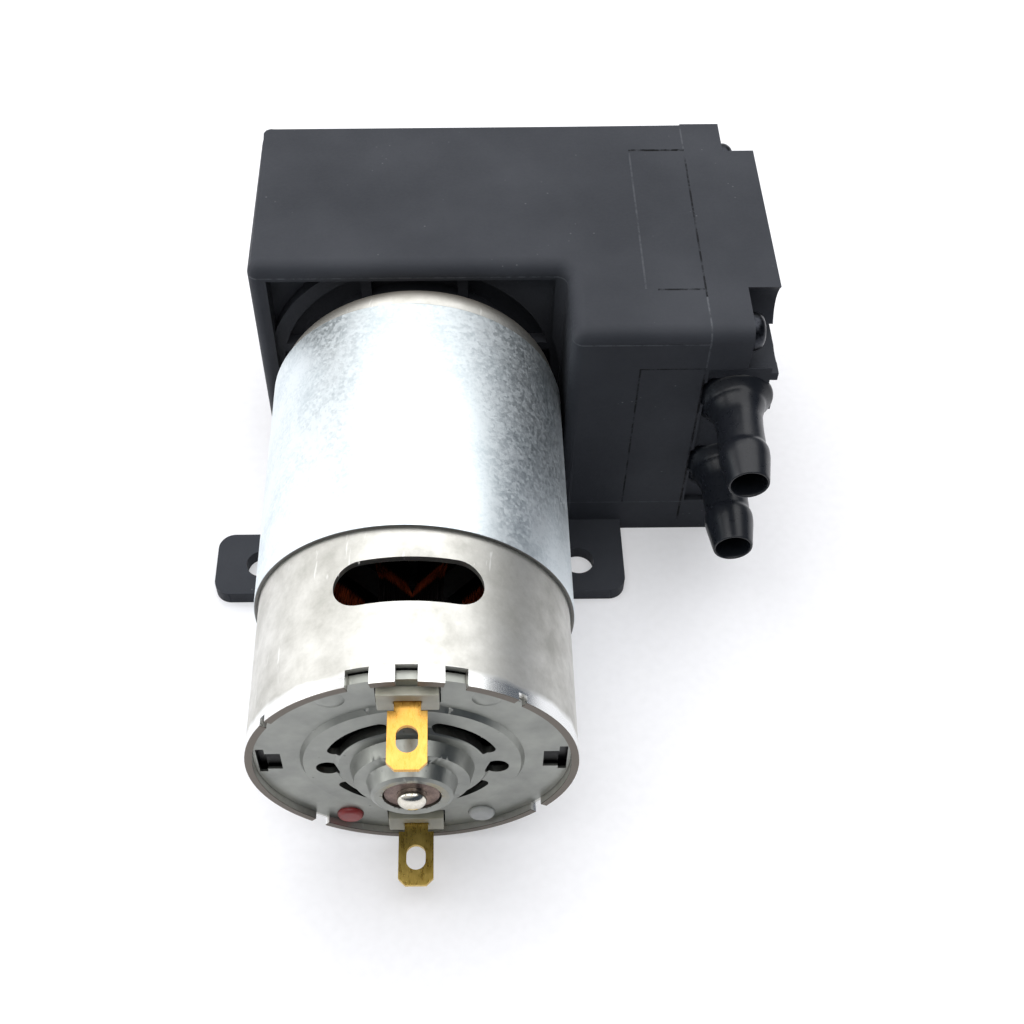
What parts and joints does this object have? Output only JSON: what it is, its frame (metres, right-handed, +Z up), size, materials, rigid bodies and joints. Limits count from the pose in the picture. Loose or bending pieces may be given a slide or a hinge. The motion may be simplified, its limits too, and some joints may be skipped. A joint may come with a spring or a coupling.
{
  "type": "diaphragm vacuum pump",
  "caption": "Small diaphragm vacuum pump: an L-shaped moulded pump body with footed base, driven by a cylindrical DC motor, with barbed hose ports on its head.",
  "frame": {"origin": "midpoint between the foot holes, on the mounting plane under the feet", "axes": "+Z up from the mounting plane; +Y along the motor, from its terminals to the pump body; +X towards the pump head"},
  "size_m": [0.0714, 0.0922, 0.0377],
  "materials": {
    "housing_nylon": "moulded matte",
    "head_nylon": "moulded matte",
    "black_screw": "black oxide",
    "rubber": "matte",
    "valve_plate": "moulded",
    "machined_aluminium": "turned",
    "steel": "ground",
    "rod_nylon": "moulded",
    "cast_weight": "cast",
    "zinc_can": "zinc plated, satin",
    "zinc_ring": "zinc plated, spangled",
    "zinc_bell": "zinc plated, satin",
    "sintered_bronze": "sintered",
    "ferrite": "sintered ferrite",
    "white_nylon": "translucent nylon",
    "terminal_brass": "stamped",
    "carbon": "pressed carbon",
    "lamination": "stacked sheet",
    "copper": "enamelled"
  },
  "bodies": {
    "pump_body": {"brush_arms": "terminal_brass", "brush_card": "white_nylon", "brushes": "carbon", "diaphragm": "rubber", "end_bell": "zinc_bell", "flux_ring": "zinc_ring", "front_bearing": "sintered_bronze", "head_gasket": "rubber", "head_screws": "black_screw", "inner_valve_plate": "valve_plate", "magnet_clips": "steel", "magnets": "ferrite", "motor_can": "zinc_can", "motor_screws": "steel", "negative_terminal": "terminal_brass", "outer_valve_plate": "valve_plate", "positive_terminal": "terminal_brass", "pump_head": "head_nylon", "pump_housing": "housing_nylon", "rear_bearing": "sintered_bronze", "rear_cover": "housing_nylon", "rear_cover_screws": "black_screw"},
    "motor_rotor": {"motor_shaft": "steel", "armature_core": "lamination", "end_insulators": "white_nylon", "armature_coils": "copper", "commutator_hub": "white_nylon", "commutator_segments": "copper", "thrust_washers": "white_nylon", "eccentric": "cast_weight", "eccentric_grub_screw": "steel", "bearing_inner_ring": "steel"},
    "pump_rod": {"connecting_rod": "rod_nylon", "bearing_outer_ring": "steel", "bearing_balls": "steel", "diaphragm_backing_disc": "machined_aluminium", "diaphragm_clamp_disc": "machined_aluminium", "diaphragm_screw": "steel"},
    "inlet_disc": {"inlet_valve": "rubber"},
    "outlet_disc": {"outlet_valve": "rubber"}
  },
  "joints": [
    {"name": "motor_spin", "type": "hinge", "parent": "pump_body", "child": "motor_rotor", "pos_m": [0, 0, 0.01885], "axis": [0, 1, 0], "continuous": true, "deforming": ["diaphragm"]},
    {"name": "crank_pin", "type": "hinge", "parent": "motor_rotor", "child": "pump_rod", "pos_m": [0.0018, 0, 0.01885], "axis": [0, 1, 0], "continuous": true},
    {"name": "inlet_valve_lift", "type": "slide", "parent": "pump_body", "child": "inlet_disc", "axis": [-1, 0, 0], "range_m": [0, 0.0006]},
    {"name": "outlet_valve_lift", "type": "slide", "parent": "pump_body", "child": "outlet_disc", "axis": [1, 0, 0], "range_m": [0, 0.0006]}
  ],
  "couplings": [
    {"joint": "crank_pin", "follows": "motor_spin", "ratio": -1}
  ]
}
